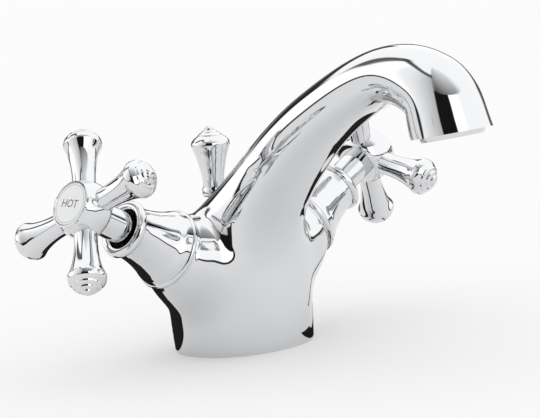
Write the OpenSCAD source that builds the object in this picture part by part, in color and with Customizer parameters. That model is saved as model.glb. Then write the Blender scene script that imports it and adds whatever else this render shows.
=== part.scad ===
// Monobloc basin mixer with two cross-head handles, turned shrouds and a pop-up waste rod.
// Millimetres. Origin at the centre of the base on the deck plane, +Z up.
// The spout points to -Y, the hot valve is on -X and the cold valve on +X.

/* [Base] */
// Width of the base across the two valves
base_w = 56.6; // [54:0.2:60]
// Depth of the base from front to back
base_d = 51; // [49:0.2:54]
// Squareness of the base outline, where 2 is an ellipse
base_power = 2.1; // [2:0.1:2.6]
// Height at which the trunk is fullest
trunk_h = 18; // [16:0.5:21]
// Width of the trunk where it is fullest
trunk_w = 59; // [57:0.2:62]
// Depth of the trunk where it is fullest
trunk_d = 50; // [48:0.2:53]
// Width of the trunk at its waist, under the spout
waist_w = 56; // [52:0.5:60]
// Depth of the trunk at its waist
waist_d = 44; // [41:0.5:46]
// How far the waist's middle sits in front of the base centre
waist_reach = 3; // [1:0.5:4]
// Height of the waist
waist_h = 37; // [35:0.5:41]

/* [Spout] */
// Distance from the base centre to the outlet centre
spout_reach = 123; // [116:1:130]
// Height of the outlet centre over the deck
outlet_h = 87.5; // [84:0.5:92]
// Diameter of the round nose at the outlet
outlet_d = 30.2; // [29:0.1:32]
// Lean of the outlet face, which looks slightly forwards
outlet_tilt = 8.5; // [4:0.5:12]
// Reach of the spout where it leaves the trunk
rise_reach = 17.5; // [15:0.5:20]
// Height of the centreline where the spout leaves the trunk
rise_h = 58; // [56:0.5:61]
// Width of the spout there
rise_w = 37; // [34:0.5:40]
// Thickness of the spout there
rise_t = 29; // [27:0.5:32]
// Reach of the spout halfway up
span_reach = 50; // [46:0.5:54]
// Height of the centreline halfway up
span_h = 87.5; // [84:0.5:91]
// Width of the spout halfway up
span_w = 30; // [27:0.5:33]
// Thickness of the spout halfway up
span_t = 22.2; // [20:0.2:25]
// Reach of the highest point of the centreline
crest_reach = 90; // [86:0.5:94]
// Height of the highest point of the centreline
crest_h = 107.5; // [104:0.5:110]
// Width of the spout at the crest
crest_w = 25.8; // [24:0.2:28]
// Thickness of the spout at the crest
crest_t = 21; // [19:0.2:23]
// Reach of the centreline at the nose bend
bend_reach = 115.5; // [112:0.5:118]
// Height of the centreline at the nose bend
bend_h = 104; // [101:0.5:107]
// Width of the nose bend
bend_w = 27.6; // [26:0.2:30]
// Thickness of the nose bend
bend_t = 24.4; // [23:0.2:27]
// Radius of the waterway through the spout
waterway_r = 4.5; // [3.5:0.1:5]

/* [Valve arms] */
// Angle of each valve axis over the deck
valve_angle = 29; // [27:0.5:32]
// Height at which both valve axes cross the centre plane
valve_z = 24; // [22:0.5:26]
// Distance along the axis from that crossing to the arm's end face
arm_end = 39.4; // [38.5:0.1:42]
// Radius of the arm at its end face
arm_r = 15; // [14.6:0.1:15.6]
// Radius of the arm's root, where it flares into the trunk
arm_root_r = 21; // [20:0.5:23]
// Distance along the axis from the crossing to the valve seat
seat_at = 20; // [19.4:0.1:20.4]
// Bore radius of the valve seat
seat_r = 4.5; // [4:0.1:5]
// Radius of the water chamber round the jumper
chamber_r = 9.5; // [9:0.1:10]

/* [Headwork] */
// Radius of the half-inch thread that screws into the arm
thread_r = 10.4; // [10.2:0.05:10.6]
// Length of that thread
thread_len = 9.2; // [8.9:0.1:9.6]
// Width across flats of the spanner hexagon
head_flats = 22; // [21:0.1:23]
// Height of the spanner hexagon
head_hex_h = 6; // [5:0.1:7]
// Radius of the neck over the hexagon
neck_r = 8.5; // [8:0.1:9]
// Height of the neck
neck_h = 11.6; // [11:0.1:12.4]
// Thickness of the fibre washer under the hexagon
fibre_t = 1; // [0.8:0.1:1.4]
// Radius of the spindle in the neck
spindle_r = 5; // [4.6:0.1:5.2]
// Radius of the spindle's thread in the jumper
screw_r = 4; // [3.6:0.1:4.2]
// Width across flats of the hexagonal jumper
jumper_flats = 13; // [12.4:0.1:13.4]
// Length of the jumper over its washer cup
jumper_len = 14.5; // [13.5:0.1:15]
// How far the jumper lifts off the seat
jumper_lift = 5.2; // [4.8:0.05:5.4]
// Radius of the jumper's cup
cup_r = 8; // [7.6:0.1:8.4]
// Thickness of the rubber washer that closes the seat
rubber_t = 3; // [2.7:0.1:3.2]
// Outside radius of the toothed end of the spindle
spline_r = 3.9; // [3.6:0.1:4]
// Number of teeth on the spindle
spline_teeth = 20; // [18:1:24]

/* [Shroud] */
// Outside radius of the thin flange at the foot of the shroud
flange_r = 16; // [15.8:0.1:16.6]
// Thickness of that flange
flange_t = 2.4; // [2:0.1:3]
// Distance from the foot to the middle of the rolled lip
shroud_h = 24.2; // [23.6:0.1:24.8]
// Radius at the waist of the skirt, just under the lip
skirt_waist_r = 10.3; // [10:0.1:10.8]
// Radius of the skirt over the flange
skirt_foot_r = 15.2; // [14.8:0.1:15.3]
// Radius of the opening in the lip
lip_hole_r = 7.7; // [7.4:0.1:8]
// Radius of the rolled edge of the lip
lip_roll_r = 1.9; // [1.7:0.1:2]

/* [Handle] */
// Distance from the foot of the shroud to the plane of the arms
handle_at = 44.8; // [44.4:0.1:46]
// Distance from the valve axis to the tip of an arm
handle_reach = 36.3; // [35:0.1:39]
// Radius of the hub's barrel in the plane of the arms
hub_r = 11.4; // [11:0.1:11.6]
// Radius of the hub's rim round the index disc
rim_r = 9.4; // [9.2:0.1:9.8]
// Radius of the hub's back edge
hub_back_r = 9.7; // [9.4:0.1:10.2]
// Distance from the arms' plane to the hub's back face
barrel_back = 5.4; // [5:0.1:6]
// Radius of the hub's stub that runs into the shroud
stub_r = 6.3; // [6:0.1:6.6]
// Distance from the arms' plane to the index disc's face
disc_at = 7.8; // [7.4:0.1:8.4]
// Radius of the index disc
disc_r = 8.4; // [8:0.1:8.6]
// Radius of an arm where it meets the hub
grip_root_r = 4.5; // [4.2:0.1:4.8]
// Radius of the bulb near an arm's tip
bulb_r = 7.5; // [7:0.1:8]
// Turn of the hot handle at rest
hot_rest = 28; // [20:1:40]
// Turn of the cold handle at rest
cold_rest = 19; // [10:1:40]

/* [Outlet] */
// Radius of the aerator's thread
aerator_r = 11.9; // [11.6:0.1:12]
// Depth of the threaded part of the outlet
aerator_depth = 6.5; // [6:0.1:7]
// How far the aerator's ring stands out of the nose
aerator_proud = 1.8; // [1.4:0.1:2.2]

/* [Pop-up rod] */
// Distance of the rod behind the base centre
rod_back = 10.5; // [10:0.1:11.5]
// Radius of the rod
rod_r = 2.5; // [2.3:0.1:2.8]
// Height of the foot of the knob
knob_foot = 59; // [58:0.5:62]
// Height of the knob
knob_h = 27.8; // [26:0.1:29]
// Widest radius of the knob
knob_r = 7.7; // [7.2:0.1:8]
// How far the rod reaches under the deck
rod_drop = 85; // [70:1:100]
// Length of the rod's lower end that the waste linkage clamps
rod_grip = 30; // [25:1:35]
// Radius of that end
rod_grip_r = 2.3; // [2.1:0.1:2.4]

/* [Fixing] */
// Distance of each inlet port from the centre plane
inlet_x = 11; // [10.8:0.1:11.6]
// Radius of an inlet port, tapped M10 x 1
inlet_r = 4.5; // [4.3:0.1:4.7]
// Depth of an inlet port
inlet_depth = 12; // [10:0.5:13]
// Distance of the fixing stud in front of the base centre
stud_front = 13.5; // [13:0.1:14]
// Radius of the fixing stud
stud_r = 4; // [3.8:0.1:4.2]
// How far the stud reaches under the deck
stud_drop = 60; // [50:1:75]
// Thickness of the deck that the kit clamps
deck_t = 14; // [8:1:20]
// Outside radius of the horseshoe washers
horseshoe_r = 24; // [23:0.5:25]

/* [Hidden] */
// Clearance between a thread or shaft and its hole
fit = 0.05;
// Clearance of rubber rings and loose parts
loose = 0.1;
// Sides on the faceted body sections
section_sides = 32;
// Steps between two stations of the sweep
station_steps = 5;
// How far a cut runs past the surface it opens
past = 1;
// Where the two ducts meet, counted in stations from the base
mixing_station = 2.5;
// How much wider the waterway is there
mixing_wider = 2;
// Sides on the waterway
waterway_sides = 16;

// Flow direction out of the nose, and the outlet centre
outlet_lean = outlet_tilt;
outlet = [0, -spout_reach, outlet_h];

// Sweep stations: distance along Y, height, half width, half thickness, squareness
stations = [
    [0, 0, base_w / 2, base_d / 2, base_power],
    [0, trunk_h, trunk_w / 2, trunk_d / 2, base_power + 0.1],
    [-waist_reach, waist_h, waist_w / 2, waist_d / 2, 2.4],
    [-rise_reach, rise_h, rise_w / 2, rise_t / 2, 2.6],
    [-span_reach, span_h, span_w / 2, span_t / 2, 2.6],
    [-crest_reach, crest_h, crest_w / 2, crest_t / 2, 2.4],
    [-bend_reach, bend_h, bend_w / 2, bend_t / 2, 2.1],
    [-spout_reach, outlet_h, outlet_d / 2, outlet_d / 2, 2]
];
last_station = len(stations) - 1;

// Places along the valve axis, all counted from the axes' crossing
floor_at = seat_at - 1.5;
thread_at = arm_end - thread_len;
hex_at = arm_end + fibre_t;
neck_at = hex_at + head_hex_h;
neck_end = neck_at + neck_h;
cup_at = seat_at + rubber_t;
cup_t = 1.5;
jumper_end = cup_at + cup_t + jumper_len;
collar_t = 2;
socket_floor = cup_at + cup_t + 2;
screw_tip = socket_floor + jumper_lift + 0.6;
shoulder_at = neck_at + 0.4;
collar_at = shoulder_at - collar_t;
arms_at = arm_end + handle_at;
disc_face = arms_at + disc_at;
barrel_at = arms_at - barrel_back;
barrel_edge = 0.3;
grip_at = 9.35;
grip_gap = 0.02;
spline_back = 6;
stub_at = neck_end + 2.6;
spline_end = arms_at - spline_back;
cap_screw_at = spline_end + 2.4;
cap_screw_head_t = 3;
cap_screw_head_r = 3.8;
cap_screw_in = 7;
cap_screw_r = 2;
cap_screw_hole = 9;
seat_way = 9;
disc_t = 1.6;
spigot_r = 3;
spigot_len = 3.6;
seal_w = 3;
seal_t = 2.5;
seal_in = 3.6;
horseshoe_slot = 34;
slot_in = 6.5;
rubber_washer_t = 3;
plate_t = 2;
nut_t = 8;
nut_flats = 13;
stud_in = 14;
bush_r = 4.4;
bush_len = 10;
bush_at = 2;
rod_in_knob = 7;

// Smooth curve through q and r, with p before and s after
function curve(p, q, r, s, u) =
    0.5 * (2 * q + (r - p) * u + (2 * p - 5 * q + 4 * r - s) * u * u + (3 * q - p - 3 * r + s) * u * u * u);
function slope(p, q, r, s, u) =
    0.5 * ((r - p) + 2 * (2 * p - 5 * q + 4 * r - s) * u + 3 * (3 * q - p - 3 * r + s) * u * u);

// A list of points with one more at each end, straight on
function extended(list) =
    let (n = len(list) - 1)
    concat([2 * list[0] - list[1]], list, [2 * list[n] - list[n - 1]]);

// Station values at place u, counted in stations from the base
function station(u) =
    let (all = extended(stations), i = min(floor(u), last_station - 1))
    curve(all[i], all[i + 1], all[i + 2], all[i + 3], u - i);
function heading(u) =
    let (
        all = extended(stations),
        i = min(floor(u), last_station - 1),
        d = slope(all[i], all[i + 1], all[i + 2], all[i + 3], u - i),
        free = [d[0], d[1]] / norm([d[0], d[1]])
    )
    u <= 1 ? [0, 1] : u >= last_station ? [-sin(outlet_lean), -cos(outlet_lean)] : free;

// Point on a superellipse outline
function power_of(x, p) = sign(x) * pow(abs(x), 2 / p);
function outline_point(a, b, p, angle) = [a * power_of(cos(angle), p), b * power_of(sin(angle), p)];
function outline(a, b, p, sides) = [for (i = [0:sides - 1]) outline_point(a, b, p, 360 * i / sides)];

// One ring of the sweep: the outline lies across the centreline's heading
function across(u, shape) =
    let (s = station(u), h = heading(u))
    [for (q = shape) [q[0], s[0] + q[1] * h[1], s[1] - q[1] * h[0]]];
function section(u) = let (s = station(u)) across(u, outline(s[2], s[3], s[4], section_sides));

// Corner points turned by Catmull-Rom steps into a smooth profile
function smooth(points, steps) =
    let (all = extended(points), n = len(points) - 1)
    concat(
        [for (i = [0:n - 1], k = [0:steps - 1]) curve(all[i], all[i + 1], all[i + 2], all[i + 3], k / steps)],
        [points[n]]
    );

// A skin over rings of equally many points, closed at both ends
module loft(rings) {
    count = len(rings) - 1;
    n = len(rings[0]);
    sides = [for (k = [0:count - 1], i = [0:n - 1], half = [0, 1])
        let (a = k * n + i, b = k * n + (i + 1) % n)
        half == 0 ? [a, a + n, b + n] : [a, b + n, b]
    ];
    first = [for (i = [0:n - 1]) i];
    last = [for (i = [n - 1:-1:0]) count * n + i];
    polyhedron([for (ring = rings, p = ring) p], concat(sides, [first, last]));
}

module sweep() {
    loft([for (k = [0:last_station * station_steps]) section(k / station_steps)]);
}

// Moves +Z onto a valve axis: side -1 is hot, side 1 is cold
module at_valve(side) {
    translate([0, 0, valve_z])
        rotate([0, side * (90 - valve_angle), 0])
            children();
}

// Moves +Z onto the flow direction, out of the nose
module at_outlet() {
    translate(outlet)
        rotate([180 - outlet_lean, 0, 0])
            children();
}

module rod_between(p, q, r) {
    d = q - p;
    translate(p)
        rotate([0, acos(d[2] / norm(d)), atan2(d[1], d[0])])
            cylinder(h = norm(d), r = r, $fn = 48);
}

module ring(inner, outer, h) {
    difference() {
        cylinder(h = h, r = outer, $fn = 72);
        translate([0, 0, -past])
            cylinder(h = h + 2 * past, r = inner, $fn = 72);
    }
}

module hexagon(flats, h) {
    cylinder(h = h, r = flats / 2 / cos(30), $fn = 6);
}

module turned(profile) {
    rotate_extrude($fn = 72)
        polygon(profile);
}

// The side arm flares from the trunk to the shroud's seat
module side_arm() {
    span = arm_end;
    flare = smooth([
        [arm_root_r, 0.2 * span],
        [arm_r + 0.8 * (arm_root_r - arm_r), 0.4 * span],
        [arm_r + 0.6 * (arm_root_r - arm_r), 0.62 * span],
        [arm_r + 0.38 * (arm_root_r - arm_r), 0.84 * span],
        [arm_r, span]
    ], 3);
    turned(concat([[0, 0.2 * span]], flare, [[0, span]]));
}

// Everything cut out of one arm: headwork bore, chamber, seat bore
module valve_cut() {
    translate([0, 0, thread_at - 0.2])
        cylinder(h = thread_len + past, r = thread_r + fit, $fn = 72);
    translate([0, 0, seat_at])
        cylinder(h = thread_at - seat_at, r = chamber_r, $fn = 72);
    translate([0, 0, floor_at])
        ring(seat_r + 2, chamber_r, seat_at - floor_at + 0.1);
    translate([0, 0, seat_at - seat_way])
        cylinder(h = seat_way + loose, r = seat_r, $fn = 48);
}

// Vertical riser from the inlet port to the seat bore
module inlet_cut(side) {
    riser_top = valve_z + inlet_x * tan(valve_angle) + 1;
    translate([side * inlet_x, 0, -past])
        cylinder(h = inlet_depth + past, r = inlet_r, $fn = 48);
    translate([side * inlet_x, 0, 0])
        cylinder(h = riser_top, r = inlet_r - 0.7, $fn = 48);
}

// Duct from the top of a chamber into the mixing chamber at the foot of the waterway
module mixing_cut(side) {
    at = thread_at - 4.2;
    up = chamber_r - 4;
    from = [
        side * (at * cos(valve_angle) - up * sin(valve_angle)), 0,
        valve_z + at * sin(valve_angle) + up * cos(valve_angle)
    ];
    meet = station(mixing_station);
    rod_between(from, [side * (waterway_r - 2), meet[0], meet[1]], waterway_r - 1);
}

// Waterway along the spout's own centreline, wider where the two ducts meet
module waterway_cut() {
    first = mixing_station - 0.2;
    last = last_station - 0.1;
    steps = 22;
    loft([for (k = [0:steps])
        let (u = first + (last - first) * k / steps, r = waterway_r + (u < mixing_station + 0.3 ? mixing_wider : 0))
        across(u, outline(r, r, 2, waterway_sides))
    ]);
}

module outlet_cut() {
    at_outlet()
        translate([0, 0, -aerator_depth])
            cylinder(h = aerator_depth + past, r = aerator_r + fit, $fn = 72);
    at_outlet()
        translate([0, 0, -aerator_depth - 3])
            cylinder(h = 3.1, r = aerator_r - 3, $fn = 72);
}

module seal_outline(inset) {
    polygon(outline(base_w / 2 - inset, base_d / 2 - inset, base_power, section_sides));
}

module base_cut() {
    translate([0, 0, -past])
        linear_extrude(seal_t + past)
            difference() {
                seal_outline(seal_in - loose);
                seal_outline(seal_in + seal_w + loose);
            }
    translate([0, -stud_front, -past])
        cylinder(h = stud_in + past, r = stud_r + fit, $fn = 48);
    translate([0, rod_back, -past])
        cylinder(h = bush_at + bush_len + past, r = bush_r + fit, $fn = 48);
    translate([0, rod_back, 0])
        cylinder(h = rise_h + rise_t, r = rod_r + 0.4, $fn = 48);
}

module body() {
    color("silver")
        difference() {
            union() {
                sweep();
                for (side = [-1, 1])
                    at_valve(side)
                        side_arm();
            }
            for (side = [-1, 1]) {
                at_valve(side)
                    valve_cut();
                inlet_cut(side);
                mixing_cut(side);
            }
            waterway_cut();
            outlet_cut();
            base_cut();
        }
}

module base_seal() {
    color("dimgray")
        linear_extrude(seal_t)
            difference() {
                seal_outline(seal_in);
                seal_outline(seal_in + seal_w);
            }
}

module aerator_housing() {
    wall = 1.6;
    color("silver")
        at_outlet()
            turned([
                [aerator_r - wall, -aerator_depth + 1.2],
                [aerator_r, -aerator_depth + 1.2],
                [aerator_r, 0.6],
                [aerator_r - 0.2, aerator_proud - 0.3],
                [aerator_r - 0.6, aerator_proud],
                [aerator_r - wall - 0.8, aerator_proud],
                [aerator_r - wall - 0.8, aerator_proud - 0.8],
                [aerator_r - wall, aerator_proud - 0.8]
            ]);
}

module aerator_insert() {
    r = aerator_r - 1.6 - loose;
    top = -aerator_depth + 1.2;
    grid_t = 1.2;
    color("dimgray")
        at_outlet() {
            translate([0, 0, top])
                ring(r - 1.2, r, aerator_proud - 0.8 - top);
            for (i = [-3:3]) {
                half = sqrt(pow(r - 0.6, 2) - pow(i * 2.6, 2));
                translate([i * 2.6 - 0.3, -half, aerator_proud - 0.8 - grid_t])
                    cube([0.6, 2 * half, grid_t]);
                translate([-half, i * 2.6 - 0.3, aerator_proud - 0.8 - grid_t])
                    cube([2 * half, 0.6, grid_t]);
            }
        }
}

module aerator_washer() {
    color("black")
        at_outlet()
            translate([0, 0, -aerator_depth])
                ring(aerator_r - 3, aerator_r - loose, 1.2);
}

module lift_rod() {
    color("silver")
        translate([0, rod_back, -rod_drop])
            union() {
                cylinder(h = rod_grip + past, r = rod_grip_r, $fn = 48);
                translate([0, 0, rod_grip])
                    cylinder(h = rod_drop - rod_grip + knob_foot + rod_in_knob, r = rod_r, $fn = 48);
            }
}

// Finial with a straight foot, a trumpet and stepped rings up to its nub
module lift_knob() {
    h = knob_h;
    r = knob_r;
    trumpet = smooth([
        [0.57 * r, 0.13 * h], [0.57 * r, 0.24 * h], [0.61 * r, 0.33 * h], [0.68 * r, 0.42 * h],
        [0.75 * r, 0.51 * h], [0.84 * r, 0.6 * h], [0.96 * r, 0.69 * h], [r, 0.73 * h]
    ], 2);
    color("silver")
        translate([0, rod_back, knob_foot])
            difference() {
                turned(concat(
                    [[0, 0], [0.58 * r, 0], [0.62 * r, 0.015 * h], [0.62 * r, 0.1 * h], [0.6 * r, 0.115 * h]],
                    trumpet,
                    [[r, 0.76 * h], [0.95 * r, 0.795 * h], [0.81 * r, 0.835 * h], [0.64 * r, 0.866 * h],
                     [0.61 * r, 0.872 * h], [0.6 * r, 0.884 * h], [0.43 * r, 0.912 * h], [0.4 * r, 0.917 * h],
                     [0.39 * r, 0.926 * h], [0.26 * r, 0.944 * h], [0.235 * r, 0.95 * h], [0.22 * r, 0.97 * h],
                     [0.16 * r, 0.99 * h], [0.08 * r, h], [0, h]]
                ));
                translate([0, 0, -past])
                    cylinder(h = rod_in_knob + fit + past, r = rod_r + fit, $fn = 48);
            }
}

module rod_bush() {
    color("ivory")
        translate([0, rod_back, bush_at])
            ring(rod_r + fit, bush_r, bush_len);
}

module fixing_stud() {
    color("goldenrod")
        translate([0, -stud_front, -stud_drop])
            cylinder(h = stud_drop + stud_in - 0.2, r = stud_r, $fn = 48);
}

module horseshoe(h) {
    linear_extrude(h)
        difference() {
            circle(r = horseshoe_r, $fn = 72);
            translate([-horseshoe_slot / 2, -slot_in])
                square([horseshoe_slot, 2 * horseshoe_r]);
            translate([0, -stud_front])
                circle(r = stud_r + fit, $fn = 48);
        }
}

module horseshoe_rubber() {
    color("black")
        translate([0, 0, -deck_t - rubber_washer_t])
            horseshoe(rubber_washer_t);
}

module horseshoe_plate() {
    color("lightgray")
        translate([0, 0, -deck_t - rubber_washer_t - plate_t])
            horseshoe(plate_t);
}

module backnut() {
    color("goldenrod")
        translate([0, -stud_front, -deck_t - rubber_washer_t - plate_t - nut_t])
            difference() {
                hexagon(nut_flats, nut_t);
                translate([0, 0, -past])
                    cylinder(h = nut_t + 2 * past, r = stud_r + fit, $fn = 48);
            }
}

module headwork(side) {
    color("goldenrod")
        at_valve(side)
            difference() {
                union() {
                    translate([0, 0, thread_at])
                        cylinder(h = hex_at - thread_at + 0.5, r = thread_r, $fn = 72);
                    translate([0, 0, hex_at])
                        hexagon(head_flats, head_hex_h);
                    translate([0, 0, neck_at - 0.5])
                        cylinder(h = neck_h + 0.5, r = neck_r, $fn = 72);
                }
                translate([0, 0, thread_at - past])
                    hexagon(jumper_flats + 2 * loose, shoulder_at - thread_at + past);
                translate([0, 0, shoulder_at - 0.1])
                    cylinder(h = neck_end - shoulder_at + past, r = spindle_r + fit, $fn = 72);
            }
}

module headwork_washer(side) {
    color("firebrick")
        at_valve(side)
            translate([0, 0, arm_end])
                ring(thread_r + fit, thread_r + 1.4, fibre_t);
}

oring_r = 0.9;
oring_first = 3.2;
oring_second = 6.6;
oring_seats = [neck_at + oring_first, neck_at + oring_second];

module spline(r, h) {
    tooth = 0.25;
    n = 2 * spline_teeth;
    linear_extrude(h)
        polygon([for (i = [0:n - 1]) (r - (i % 2) * tooth) * [cos(360 * i / n), sin(360 * i / n)]]);
}

module spindle(side) {
    color("goldenrod")
        at_valve(side)
            difference() {
                union() {
                    translate([0, 0, screw_tip])
                        cylinder(h = collar_at + 0.5 - screw_tip, r = screw_r, $fn = 48);
                    translate([0, 0, collar_at])
                        cylinder(h = collar_t, r = jumper_flats / 2 - 0.2, $fn = 48);
                    translate([0, 0, shoulder_at - 0.5])
                        cylinder(h = neck_end + 2.3 - shoulder_at, r = spindle_r, $fn = 48);
                    translate([0, 0, neck_end + 1.5])
                        spline(spline_r, spline_end - neck_end - 1.5);
                }
                for (at = oring_seats)
                    translate([0, 0, at - oring_r - loose])
                        ring(spindle_r - 2 * oring_r, spindle_r + past, 2 * oring_r + 2 * loose);
                translate([0, 0, neck_end + loose])
                    ring(spindle_r - 0.8, spindle_r + past, 1);
                translate([0, 0, spline_end - cap_screw_hole])
                    cylinder(h = cap_screw_hole + past, r = cap_screw_r + fit, $fn = 48);
            }
}

module spindle_orings(side) {
    color("black")
        at_valve(side)
            for (at = oring_seats)
                translate([0, 0, at])
                    rotate_extrude($fn = 72)
                        translate([spindle_r - oring_r, 0])
                            circle(r = oring_r - 0.02, $fn = 32);
}

module spindle_circlip(side) {
    color("lightgray")
        at_valve(side)
            translate([0, 0, neck_end + loose + 0.05])
                difference() {
                    ring(spindle_r - 0.8 + fit, spindle_r + 1.4, 0.9);
                    translate([0, -1.5, -past])
                        cube([2 * spindle_r, 3, 0.9 + 2 * past]);
                }
}

module jumper(side) {
    color("goldenrod")
        at_valve(side)
            difference() {
                union() {
                    translate([0, 0, cup_at])
                        cylinder(h = cup_t, r = cup_r, $fn = 72);
                    translate([0, 0, cup_at + 1])
                        hexagon(jumper_flats, jumper_end - cup_at - 1);
                }
                translate([0, 0, socket_floor])
                    cylinder(h = jumper_end - socket_floor + past, r = screw_r + fit, $fn = 48);
                translate([0, 0, cup_at - past])
                    cylinder(h = past + 2.6, r = 1.5 + fit, $fn = 36);
            }
}

module jumper_washer(side) {
    color("black")
        at_valve(side)
            translate([0, 0, seat_at])
                ring(1.5 + loose, cup_r - 0.5, rubber_t);
}

module washer_screw(side) {
    color("goldenrod")
        at_valve(side)
            union() {
                translate([0, 0, seat_at - 1.6])
                    cylinder(h = 1.6, r = 3, $fn = 48);
                translate([0, 0, seat_at - 0.5])
                    cylinder(h = rubber_t + 3, r = 1.5, $fn = 36);
            }
}

module shroud(side) {
    lip_mid_r = lip_hole_r + lip_roll_r;
    skirt = smooth([
        [skirt_foot_r, flange_t],
        [skirt_waist_r + 0.86 * (skirt_foot_r - skirt_waist_r), 0.2 * shroud_h],
        [skirt_waist_r + 0.6 * (skirt_foot_r - skirt_waist_r), 0.32 * shroud_h],
        [skirt_waist_r + 0.23 * (skirt_foot_r - skirt_waist_r), 0.56 * shroud_h],
        [skirt_waist_r + 0.02 * (skirt_foot_r - skirt_waist_r), 0.8 * shroud_h],
        [skirt_waist_r, shroud_h - 1.4]
    ], 4);
    inner_r = head_flats / 2 / cos(30) + 0.3;
    collar_at = neck_end - arm_end - 5;
    color("silver")
        at_valve(side)
            translate([0, 0, arm_end])
                rotate_extrude($fn = 96)
                    union() {
                        polygon(concat(
                            [[inner_r, 0], [flange_r - 0.9, 0], [flange_r - 0.2, 0.5], [flange_r, flange_t / 2],
                             [flange_r - 0.2, flange_t - 0.5], [flange_r - 0.9, flange_t]],
                            skirt,
                            [[lip_mid_r, shroud_h], [lip_hole_r + 0.6, shroud_h - 1], [neck_r + 0.4, collar_at + 4],
                             [neck_r + fit, collar_at + 4], [neck_r + fit, collar_at],
                             [inner_r - 2.6, collar_at], [inner_r - 2.6, head_hex_h + 3], [inner_r, head_hex_h + 1.6]]
                        ));
                        translate([lip_mid_r, shroud_h])
                            circle(r = lip_roll_r, $fn = 48);
                    }
}

// Outline of the hub's barrel over the arms' plane, from the back edge to the rim
function barrel(grown) = concat(
    [[hub_back_r - barrel_edge + grown, -barrel_back - grown]],
    smooth([
        [hub_back_r + grown, barrel_edge - barrel_back],
        [hub_back_r + 0.55 * (hub_r - hub_back_r) + grown, -0.74 * barrel_back],
        [hub_back_r + 0.88 * (hub_r - hub_back_r) + grown, -0.4 * barrel_back],
        [hub_r + grown, 0],
        [rim_r + 0.88 * (hub_r - rim_r) + grown, 0.31 * disc_at],
        [rim_r + 0.5 * (hub_r - rim_r) + grown, 0.63 * disc_at],
        [rim_r + grown, disc_at - 0.6]
    ], 3),
    [[rim_r - barrel_edge + grown, disc_at + 0.1 + grown]]
);

module hub(side) {
    color("silver")
        at_valve(side)
            difference() {
                turned(concat(
                    [[0, stub_at], [stub_r, stub_at], [stub_r, barrel_at]],
                    [for (q = barrel(0)) [q[0], arms_at + q[1]]],
                    [[0, disc_face + 0.1]]
                ));
                translate([0, 0, stub_at - past])
                    spline(spline_r + fit, spline_end - stub_at + past + 0.3);
                translate([0, 0, spline_end])
                    cylinder(h = disc_face - spline_end, r = 2.3, $fn = 48);
                translate([0, 0, spline_end + 2.4])
                    cylinder(h = disc_face - spline_end, r = 4.2, $fn = 48);
                translate([0, 0, disc_face - disc_t])
                    cylinder(h = disc_t + past, r = disc_r + loose, $fn = 72);
                for (k = [0:3])
                    translate([0, 0, arms_at])
                        rotate([0, 0, rest_turn(side) + 90 * k])
                            rotate([0, 90, 0])
                                translate([0, 0, hub_r - spigot_len - 0.1])
                                    cylinder(h = spigot_len + past, r = spigot_r + fit, $fn = 36);
            }
}
function rest_turn(side) = side < 0 ? hot_rest : cold_rest;

// One turned arm with its spigot in the hub: radius and distance from the valve axis
module handle_arm(side, k) {
    seat = grip_at;
    free = handle_reach - seat;
    stem = smooth([
        [grip_root_r, seat + 0.9],
        [grip_root_r * 1.01, seat + 0.25 * free],
        [grip_root_r * 1.14, seat + 0.44 * free],
        [bulb_r * 0.82, seat + 0.6 * free],
        [bulb_r, seat + 0.72 * free]
    ], 4);
    color("silver")
        at_valve(side)
            translate([0, 0, arms_at])
                rotate([0, 0, rest_turn(side) + 90 * k])
                    rotate([0, 90, 0])
                        union() {
                            difference() {
                                turned(concat(
                                    [[0, seat - 3], [grip_root_r - 0.6, seat - 3], [grip_root_r, seat - 2.4]],
                                    stem,
                                    [[bulb_r, seat + 0.75 * free], [bulb_r * 0.94, seat + 0.81 * free],
                                     [bulb_r * 0.74, seat + 0.865 * free], [bulb_r * 0.72, seat + 0.89 * free],
                                     [bulb_r * 0.52, seat + 0.915 * free], [bulb_r * 0.48, seat + 0.94 * free],
                                     [bulb_r * 0.28, seat + 0.955 * free], [bulb_r * 0.24, seat + 0.98 * free],
                                     [bulb_r * 0.12, handle_reach], [0, handle_reach]]
                                ));
                                rotate([0, -90, 0])
                                    turned(concat(
                                        [[0, -barrel_back - grip_gap]], barrel(grip_gap), [[0, disc_at + 0.1 + grip_gap]]
                                    ));
                            }
                            translate([0, 0, hub_r - spigot_len])
                                cylinder(h = spigot_len + 2, r = spigot_r, $fn = 36);
                        }
}

module handle_screw(side) {
    color("lightgray")
        at_valve(side)
            union() {
                translate([0, 0, cap_screw_at])
                    cylinder(h = cap_screw_head_t, r = cap_screw_head_r, $fn = 48);
                translate([0, 0, spline_end - cap_screw_in])
                    cylinder(h = cap_screw_at + loose - spline_end + cap_screw_in, r = cap_screw_r, $fn = 48);
            }
}

module index_disc(side) {
    color("whitesmoke")
        at_valve(side)
            translate([0, 0, disc_face - disc_t])
                cylinder(h = disc_t, r = disc_r, $fn = 72);
}

body();
base_seal();
aerator_housing();
aerator_insert();
aerator_washer();
lift_rod();
lift_knob();
rod_bush();
fixing_stud();
horseshoe_rubber();
horseshoe_plate();
backnut();
headwork(-1);  // hot_headwork
headwork_washer(-1);  // hot_headwork_washer
spindle(-1);  // hot_spindle
spindle_orings(-1);  // hot_spindle_orings
spindle_circlip(-1);  // hot_spindle_circlip
jumper(-1);  // hot_jumper
jumper_washer(-1);  // hot_jumper_washer
washer_screw(-1);  // hot_washer_screw
shroud(-1);  // hot_shroud
hub(-1);  // hot_hub
handle_arm(-1, 0);  // hot_arm_1
handle_arm(-1, 1);  // hot_arm_2
handle_arm(-1, 2);  // hot_arm_3
handle_arm(-1, 3);  // hot_arm_4
handle_screw(-1);  // hot_handle_screw
index_disc(-1);  // hot_index_disc
headwork(1);  // cold_headwork
headwork_washer(1);  // cold_headwork_washer
spindle(1);  // cold_spindle
spindle_orings(1);  // cold_spindle_orings
spindle_circlip(1);  // cold_spindle_circlip
jumper(1);  // cold_jumper
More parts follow.
